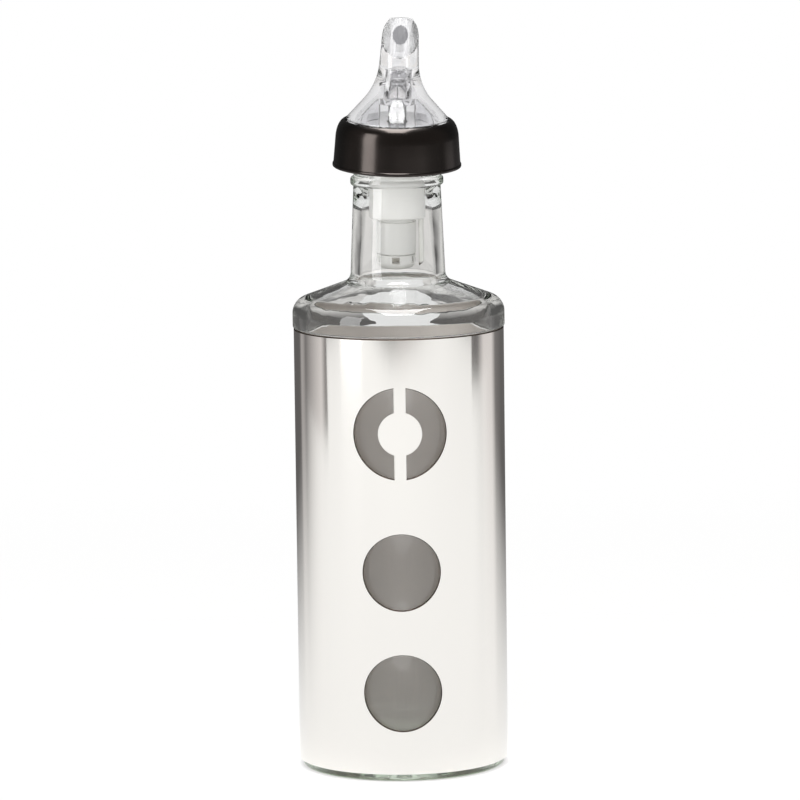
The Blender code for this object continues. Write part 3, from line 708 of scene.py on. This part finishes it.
# Spout
# One clear moulding: a flange that the collar holds, a dome with six thin vanes under it, and a
# leaning nozzle with a slanted mouth. A small hole in its left flank lets air in.
dome_radius = 16.9
dome_inside = 14.8
spout_flange_radius = dome_radius + 1.0
crease_radius = 6.865  # where the straight sides of dome and nozzle would meet
nozzle_tip = (5.78, crease_level + 21.8)
uncut_tip = 52.35  # before the slanted mouth is cut
web_level = 18.0  # thin clear web across the dome
web_thickness = 0.8
web_hole = 3.4
air_space_radius = 5.4  # round the flow tube's head
head_socket_radius = 4.8
head_socket_foot = crease_level + 2.7
head_socket_top = head_socket_foot + 3.0
vane_turns = slot_turns  # the vanes stand over the slots
vane_length = 8.2
vane_middle = 11.1  # from the axis to the middle of a vane
vane_thickness = 0.9
vane_height = 1.1
vane_level = 17.0
vane_inner_rise = 8.6  # a vane's inner end reaches up to the dome by this
vane_outer_rise = 0.7
vent_radius = 0.65
vent_turn = math.radians(-48.6)
vent_level = crease_level + 1.0
vent_cut_length = 3.8
vent_cut_middle = 7.0  # from the nozzle's axis, so that the cut passes its wall alone
mouth_slant = math.radians(50)
mouth_level = nozzle_tip[1] - 5.1
mouth_block = 22  # size of the block that cuts the mouth
mouth_round = 0.3
mouth_outside = 4.2  # edges of the cut further from its middle than this are its outer rim,
mouth_flat_top = 4.6  # and those higher than this over its middle stay sharp
frost_and_shade_level = 41.4  # the bore of the nozzle is frosted, and painted grey as shade, above this


def rounded(corner, before, after, back, onward, steps):
    """Points of a smooth round in an outline, from `back` mm before a corner to `onward` mm after it.

    The round is a conic that leaves each side without a kink and bulges as an arc between them does.
    """
    corner = Vector(corner)
    towards_before = (Vector(before) - corner).normalized()
    towards_after = (Vector(after) - corner).normalized()
    start, end = corner + towards_before * back, corner + towards_after * onward
    pull = math.sin(math.acos(towards_before.dot(towards_after)) / 2)
    points = []
    for step in range(steps + 1):
        share = step / steps
        weights = ((1 - share) ** 2, 2 * pull * share * (1 - share), share ** 2)
        point = (start * weights[0] + corner * weights[1] + end * weights[2]) / sum(weights)
        points.append((point.x, point.y))
    return points


crease = rounded((crease_radius, crease_level), nozzle_tip, (dome_radius, dome_foot),
                 back=7.4, onward=6.9, steps=12)
spout = turned("clear_spout", [
    (nozzle_bore, uncut_tip), (nozzle_tip[0], uncut_tip, 0.4, 3), (6.05, 47.0), (6.27, 42.6), *crease,
    (14.2, dome_foot + 3.0), (dome_radius, dome_foot, 0.15, 1), (dome_radius, spout_flange_top),
    (spout_flange_radius, spout_flange_top, 0.15, 1), (spout_flange_radius, spout_foot, 0.15, 1),
    (dome_inside, spout_foot), (dome_inside, web_level), (web_hole, web_level),
    (web_hole, web_level + web_thickness), (dome_inside, web_level + web_thickness),
    (11.0, 23.03), (8.0, 26.36), (air_space_radius, 29.25, 1.8, 5),
    (air_space_radius, head_socket_foot), (head_socket_radius, head_socket_foot),
    (head_socket_radius, head_socket_top), (nozzle_bore, head_socket_top, 0.15, 1),
    (nozzle_bore, 41.5), (nozzle_bore, 47.0),
], sides=144, ring=True)
lean_over(spout)


def vane(angle):
    """A thin upright plate under the dome, from its wall in towards the flow tube."""
    deselect()
    bpy.ops.mesh.primitive_cube_add(size=1, location=(vane_middle * mm, 0, vane_level * mm),
                                    scale=(vane_length * mm, vane_thickness * mm, vane_height * mm))
    plate = settle()
    open_mesh(plate)
    for end, rise in ((-1, vane_inner_rise), (1, vane_outer_rise)):
        pick("VERT", lambda point: point.co.z > vane_level * mm and (point.co.x - vane_middle * mm) * end > 0)
        bpy.ops.transform.translate(value=(0, 0, rise * mm))
    bpy.ops.mesh.select_all(action="SELECT")
    bpy.ops.transform.rotate(value=-angle, orient_axis="Z", center_override=(0, 0, 0))
    bpy.ops.object.mode_set(mode="OBJECT")
    return plate


for vane_turn in vane_turns:
    put_cutter(spout, vane(vane_turn), "UNION")

outwards = Vector((math.sin(vent_turn), -math.cos(vent_turn), 0))
nozzle_middle = nozzle_shift(vent_level * mm) + Vector((0, 0, vent_level * mm))
deselect()
bpy.ops.mesh.primitive_cylinder_add(vertices=32, radius=vent_radius * mm, depth=vent_cut_length * mm,
                                    rotation=(math.pi / 2, 0, vent_turn),
                                    location=nozzle_middle + outwards * vent_cut_middle * mm)
put_cutter(spout, bpy.context.object)

mouth = nozzle_shift(mouth_level * mm) + Vector((0, 0, mouth_level * mm))
mouth_facing = Vector((0, -math.sin(mouth_slant), math.cos(mouth_slant)))
deselect()
bpy.ops.mesh.primitive_cube_add(size=mouth_block * mm, rotation=(mouth_slant, 0, 0),
                                location=mouth + mouth_facing * mouth_block / 2 * mm)
put_cutter(spout, bpy.context.object)


def on_mouth_rim(edge):
    """Whether an edge lies on the outer rim of the slanted cut, below its flat top."""
    ends = [point.co - mouth for point in edge.verts]
    in_cut = all(abs(end.dot(mouth_facing)) < 0.01 * mm for end in ends)
    return in_cut and all(math.hypot(end.x, end.y) > mouth_outside * mm and end.z < mouth_flat_top * mm
                          for end in ends)


open_mesh(spout)
pick("EDGE", on_mouth_rim)
bpy.ops.mesh.bevel(offset=mouth_round * mm, segments=3, affect="EDGES")
bpy.ops.object.mode_set(mode="OBJECT")

# The same plastic where the core pin left it matt: a frosted skin inside the nozzle, whose grey is
# painted shade down the bore.
frosted_and_shaded, tree, place = new_material("core_pin_frost_and_shade")
stretch = add_node(tree, "Mapping", {"Scale": (1.0, 1.0, 0.05)}, {"Vector": place})
drawn = add_node(tree, "TexNoise", {"Scale": 1 / (1.0 * mm), "Detail": 2.0}, {"Vector": stretch})
# painted shade: the grey tint of the bore's wall
cast = add_node(tree, "Mix", {6: colour("#5A5A5E"), 7: colour("#86868A")},
                {"Factor": drawn}, data_type="RGBA")
matt = add_node(tree, "BsdfPrincipled", {"Roughness": 0.22, "IOR": 1.57, "Transmission Weight": 1.0},
                {"Base Color": cast.outputs[2]})
spout.data.materials.append(crystal)
coat(spout, frosted_and_shaded, matt)


def in_bore(face):
    """Whether a face of the spout is the wall of the nozzle's bore."""
    middle = face.calc_center_median()
    off_axis = middle - nozzle_shift(middle.z)
    near = math.hypot(off_axis.x, off_axis.y) < (nozzle_bore + 0.15) * mm
    return near and middle.z > frost_and_shade_level * mm


paint(spout, 0, lambda face: True)
paint(spout, 1, in_bore)
set_askew(spout)
finished(spout, "pourer_body", "spout")

# Collar
# Black bell, moulded and polished, that hides the bottle's mouth. A lip and a snap ridge inside it
# hold the spout's flange, and a raised hem runs round its foot. Its side is plain.
collar_foot = 3.362
hem_top = collar_foot + 0.9
hem_step = 0.3
collar_radius = 21.1  # just above the hem
collar_shoulder_radius = 20.05  # where the straight sides of its top and its skirt would meet
lip_radius = 17.2
lip_level = collar_top - 1.4
flange_space = 18.2
snap_radius = 17.5
snap_level = seat_level - 0.7
collar = turned("bell_collar", [
    (lip_radius, collar_top, 0.15, 1), (snap_radius, collar_top - 0.012),
    *rounded((collar_shoulder_radius, collar_top), (lip_radius, collar_top), (collar_radius, hem_top),
             back=2.7, onward=5.6, steps=9)[1:],
    (20.78, 8.8), (collar_radius, hem_top + hem_step), (collar_radius + hem_step, hem_top, 0.2, 3),
    (collar_radius + hem_step, collar_foot, 0.25, 3), (collar_radius - 1.5, collar_foot, 0.2, 2),
    (18.9, snap_level - 0.8), (snap_radius, snap_level, 0.1, 1), (snap_radius, seat_level),
    (flange_space, seat_level), (flange_space, lip_level), (lip_radius, lip_level),
], sides=192, ring=True)
set_askew(collar)

# Black ABS: glossy, with a brown cast in its highlights and the slight unevenness of a moulding.
black, tree, place = new_material("gloss_black_abs")
uneven_skin = add_node(tree, "TexNoise", {"Scale": 1 / (9 * mm), "Detail": 2.0}, {"Vector": place})
skin = add_node(tree, "Bump", {"Strength": 0.2, "Distance": 0.03 * mm}, {"Height": uneven_skin})
blur = add_node(tree, "MapRange", {"To Min": 0.16, "To Max": 0.24}, {"Value": uneven_skin})
abs_plastic = add_node(tree, "BsdfPrincipled", {
    "Base Color": colour("#0B0A09"), "IOR": 1.53, "Specular Tint": colour("#FFF0E8"),
}, {"Roughness": blur, "Normal": skin})
coat(collar, black, abs_plastic)
finished(collar, "pourer_body", "collar")

# Table
# White table that the cruet stands on. It ends to the left and right of the cruet, is narrower behind
# it and fades out there, and past its edges the steel mirrors the darker room.
table_depth = 1.04  # of the wide front part
table_middle = -0.61
front_stretch = 2.32  # the front part is wider than deep by this
back_share = 0.755  # width of the back part, as a share of the front part's
back_shift = 0.09
back_step = 0.001
back_depth = 0.79
fade_start = -0.08
fade_end = 0.62
deselect()
bpy.ops.mesh.primitive_plane_add(size=table_depth, location=(0, table_middle, 0))
table = settle()
table.name = table.data.name = "white_table"
open_mesh(table)
bpy.ops.mesh.select_all(action="SELECT")
bpy.ops.transform.resize(value=(front_stretch, 1, 1), center_override=(0, 0, 0))
pick("EDGE", lambda edge: all(point.co.y > table_middle for point in edge.verts))
bpy.ops.mesh.extrude_edges_indiv()
bpy.ops.transform.resize(value=(back_share, 1, 1), center_override=(0, 0, 0))
bpy.ops.transform.translate(value=(back_shift, back_step, 0))
bpy.ops.mesh.extrude_edges_indiv()
bpy.ops.transform.translate(value=(0, back_depth, 0))
bpy.ops.object.mode_set(mode="OBJECT")

# White laminate: matt and even. Part of its brightness is its own light, which is turned down under
# the cruet as a painted shadow, and is less where it is seen through glass. The rest is the light that
# falls on it, so that it stays nearly white and keeps the cruet's real shadow as well.
laminate, tree, place = new_material("white_laminate")
axes = add_node(tree, "SeparateXYZ", None, {"Vector": place})
rays = add_node(tree, "LightPath")
matt = add_node(tree, "BsdfDiffuse", {"Color": colour("#F2F1EF")})
away = add_node(tree, "VectorMath", None, {0: place}, operation="LENGTH")
# painted shadow: the own light drops from 1.3 to 0.12 where the cruet stands
own_light_with_painted_shadow = add_node(tree, "MapRange", {
    "From Min": 30 * mm, "From Max": 35 * mm, "To Min": 0.12, "To Max": 1.3,
}, {"Value": away.outputs["Value"]})
own_light = add_node(tree, "Emission", {"Color": colour("#FFFFFF")}, {"Strength": own_light_with_painted_shadow})
seen = add_node(tree, "Math", None, {
    0: rays.outputs["Is Camera Ray"], 1: rays.outputs["Is Glossy Ray"],
}, operation="MAXIMUM")
seen_share = add_node(tree, "Math", {1: 0.6}, {0: seen}, operation="MULTIPLY")
share = add_node(tree, "Math", {1: 0.3}, {0: rays.outputs["Is Transmission Ray"], 2: seen_share},
                 operation="MULTIPLY_ADD")
lit = add_node(tree, "MixShader", None, {0: share, 1: matt, 2: own_light})
fade = add_node(tree, "MapRange", {"From Min": fade_start, "From Max": fade_end},
                {"Value": axes.outputs["Y"]}, interpolation_type="SMOOTHSTEP")
gone = add_node(tree, "BsdfTransparent")
whole = add_node(tree, "MixShader", None, {0: fade, 1: lit, 2: gone})
coat(table, laminate, whole)

# Cards
# White paper in a ring round the spout, and a small card of it close behind the shoulder, which
# paints a highlight there. Only light that has passed through clear plastic or glass meets them. The
# ring is the white backdrop as the spout sees it, while the glass below looks past it into the room.
ring_card_radius = 0.14
ring_card_foot = 0.207
ring_card_height = 0.25
deselect()
bpy.ops.mesh.primitive_circle_add(vertices=96, radius=ring_card_radius, location=(0, 0, ring_card_foot))
card = settle()
card.name = card.data.name = "white_card"
open_mesh(card)
bpy.ops.mesh.select_all(action="SELECT")
bpy.ops.mesh.extrude_edges_indiv()
bpy.ops.transform.translate(value=(0, 0, ring_card_height))
bpy.ops.object.mode_set(mode="OBJECT")


def set_stops(ramp, stops, hue=(1, 1, 1)):
    """Gives a colour ramp its stops, each a position from 0 to 1 and a brightness."""
    elements = ramp.color_ramp.elements
    while len(elements) < len(stops):
        elements.new(0.5)
    for element, (position, brightness) in zip(elements, stops):
        element.position = position
    for element, (position, brightness) in zip(elements, stops):
        element.color = (*(brightness * part for part in hue), 1)


# White paper: even and matt. Behind the spout it is a little darker than the background, and in front
# of it its light is painted darker, as shade, which draws the mouth and the edges of the clear plastic.
white_paper, tree, place = new_material("white_paper")
rays = add_node(tree, "LightPath")
gone = add_node(tree, "BsdfTransparent")
axes = add_node(tree, "SeparateXYZ", None, {"Vector": place})
depth = add_node(tree, "MapRange", {"From Min": -0.1, "From Max": 0.1}, {"Value": axes.outputs["Y"]})
# painted shade: the card's own light is dimmed to 0.22 on its front half
shade = add_node(tree, "ValToRGB", None, {"Fac": depth})
set_stops(shade, [(0.5, 0.22), (0.75, 0.88), (0.95, 0.85)])
bright = add_node(tree, "Emission", None, {"Color": shade})
whole = add_node(tree, "MixShader", None, {0: rays.outputs["Is Transmission Ray"], 1: gone, 2: bright})
coat(card, white_paper, whole)

# The small card, narrower at its top, which shows through the shoulder as a painted highlight. Its
# sizes are in mm.
low_card_width = 33
low_card_height = 7.5
low_card_top_share = 0.58
low_card_place = (1.0, 50, 150.2)
deselect()
bpy.ops.mesh.primitive_plane_add(size=1 * mm, location=(0, 0, 0))
low_card = bpy.context.object
low_card.name = low_card.data.name = "shoulder_highlight_card"
open_mesh(low_card)
bpy.ops.mesh.select_all(action="SELECT")
bpy.ops.transform.resize(value=(low_card_width, low_card_height, 1), center_override=(0, 0, 0))
pick("VERT", lambda point: point.co.y > 0)
bpy.ops.transform.resize(value=(low_card_top_share, 1, 1), center_override=(0, 0, 0))
bpy.ops.object.mode_set(mode="OBJECT")
low_card.rotation_euler = (math.radians(90), 0, 0)
low_card.location = [part * mm for part in low_card_place]
settle()
low_card.data.materials.append(white_paper)

# Studio
# A room whose backdrop is pure white to the camera. Mirrors show its walls low down, in bands from
# pale to dark, and a dark room above them. Glass shows the backdrop in tones that change with the
# height, and everything matt gets one even soft light.
wall_bands = [  # degrees round from the front, and brightness
    (-150, 0.12), (-140, 0.13), (-136, 0.42), (-130, 0.38), (-125, 0.18), (-116, 0.36), (-95, 0.74),
    (-89, 0.26), (-80, 0.15), (-10, 0.15), (4, 0.44), (46, 0.52), (58, 0.15), (96, 0.15), (106, 0.72),
    (122, 0.74), (131, 0.20), (150, 0.13),
]
backdrop_tones = [  # upward part of the direction, and brightness
    (-0.142, 0.85), (-0.127, 0.34), (-0.118, 0.33), (-0.104, 0.60), (-0.06, 0.80), (-0.03, 0.50),
    (0.01, 0.10),
]
lowest_tone = -0.2
highest_tone = 0.04
studio = bpy.data.worlds.new("studio")
bpy.context.scene.world = studio
studio.use_nodes = True
tree = studio.node_tree
tree.nodes.clear()
place = add_node(tree, "TexCoord")
axes = add_node(tree, "SeparateXYZ", None, {"Vector": place.outputs["Generated"]})
front = add_node(tree, "Math", {1: -1.0}, {0: axes.outputs["Y"]}, operation="MULTIPLY")
around = add_node(tree, "Math", None, {0: axes.outputs["X"], 1: front}, operation="ARCTAN2")
turn_share = add_node(tree, "MapRange", {"From Min": -math.pi, "From Max": math.pi}, {"Value": around})
walls = add_node(tree, "ValToRGB", None, {"Fac": turn_share})
set_stops(walls, [((turn + 180) / 360, brightness) for turn, brightness in wall_bands], (1, 0.95, 0.94))
rays = add_node(tree, "LightPath")

# the walls end a little higher on the right, and the room above them is darker behind the cruet
on_right = add_node(tree, "Math", {1: math.radians(60)}, {0: around}, operation="GREATER_THAN")
lowered = add_node(tree, "Math", {1: -0.03}, {0: on_right, 2: axes.outputs["Z"]}, operation="MULTIPLY_ADD")
rise = add_node(tree, "MapRange", {"From Min": -0.115, "From Max": -0.095}, {"Value": lowered})
aside = add_node(tree, "Math", None, {0: around}, operation="ABSOLUTE")
behind = add_node(tree, "MapRange", {"From Min": math.radians(90), "From Max": math.radians(120)},
                  {"Value": aside})
dark_room = add_node(tree, "Mix", {6: (0.19, 0.17, 0.16, 1), 7: (0.06, 0.06, 0.06, 1)},
                     {"Factor": behind}, data_type="RGBA")
room = add_node(tree, "Mix", None, {"Factor": rise, 6: walls, 7: dark_room.outputs[2]}, data_type="RGBA")

# the backdrop as glass shows it
through = add_node(tree, "Math", None, {0: behind, 1: rays.outputs["Is Transmission Ray"]},
                   operation="MULTIPLY")
level = add_node(tree, "MapRange", {"From Min": lowest_tone, "From Max": highest_tone},
                 {"Value": axes.outputs["Z"]})
paper_tone = add_node(tree, "ValToRGB", None, {"Fac": level})
set_stops(paper_tone, [((upward - lowest_tone) / (highest_tone - lowest_tone), brightness)
                       for upward, brightness in backdrop_tones], (1, 0.98, 0.96))
backdrop = add_node(tree, "Mix", None, {"Factor": through, 6: room.outputs[2], 7: paper_tone},
                    data_type="RGBA")

# the pale ceiling, the even light on what is matt, and the white that the camera sees
upwards = add_node(tree, "MapRange", {"From Min": 0.82, "From Max": 0.92}, {"Value": axes.outputs["Z"]})
overhead = add_node(tree, "Mix", {7: (0.9, 0.9, 0.9, 1)},
                    {"Factor": upwards, 6: backdrop.outputs[2]}, data_type="RGBA")
even = add_node(tree, "Mix", {7: (0.6, 0.6, 0.6, 1)},
                {"Factor": rays.outputs["Diffuse Depth"], 6: overhead.outputs[2]}, data_type="RGBA")
paper = add_node(tree, "Mix", {7: (1, 1, 1, 1)},
                 {"Factor": rays.outputs["Is Camera Ray"], 6: even.outputs[2]}, data_type="RGBA")
sky = add_node(tree, "Background", None, {"Color": paper.outputs[2]})
add_node(tree, "OutputWorld", None, {"Surface": sky})

# Lamps
# A softbox overhead draws the bright rim on the collar, and a tall strip to the left of the camera
# the highlight down its side. A wide soft fill in front lights what is matt, and no mirror shows it.
# Clear pieces show none of the three.
softboxes = {  # place, width and height, and power
    "high_softbox": ((0.0, -0.10, 1.1), (0.46, 1.12), 18.0),
    "left_strip": ((-1.09, -0.81, 0.45), (0.58, 1.3), 13.0),
    "front_fill": ((-0.15, -1.5, 0.45), (1.4, 1.0), 11.0),
}
for name, (spot, (width, height), power) in softboxes.items():
    bpy.ops.object.light_add(type="AREA", location=spot)
    lamp = bpy.context.object
    lamp.name = lamp.data.name = name
    lamp.data.shape = "RECTANGLE"
    lamp.data.size = width
    lamp.data.size_y = height
    lamp.data.energy = power
    lamp.visible_diffuse = name == "front_fill"
    lamp.visible_glossy = not lamp.visible_diffuse
    lamp.visible_transmission = False
    if name != "high_softbox":
        lamp.rotation_euler = Vector((-spot[0], -spot[1], 0)).to_track_quat("-Z", "Y").to_euler()

# Camera
# A long lens, a little above the cruet and looking down on it, rolled by less than a degree.
camera_place = (0.00014, -1.8849, 0.3848)
look_down_deg = 7.916
roll_deg = -0.712
bpy.ops.object.camera_add(location=camera_place)
camera = bpy.context.object
camera.rotation_euler = (Matrix.Rotation(math.radians(90 - look_down_deg), 3, "X")
                         @ Matrix.Rotation(math.radians(roll_deg), 3, "Z")).to_euler()
camera.data.lens = 256.56
camera.data.sensor_width = 36
scene = bpy.context.scene
scene.camera = camera
scene.view_settings.view_transform = "Standard"
scene.cycles.max_bounces = 24
scene.cycles.transmission_bounces = 24
scene.cycles.glossy_bounces = 24
scene.cycles.diffuse_bounces = 8
scene.cycles.blur_glossy = 0.0
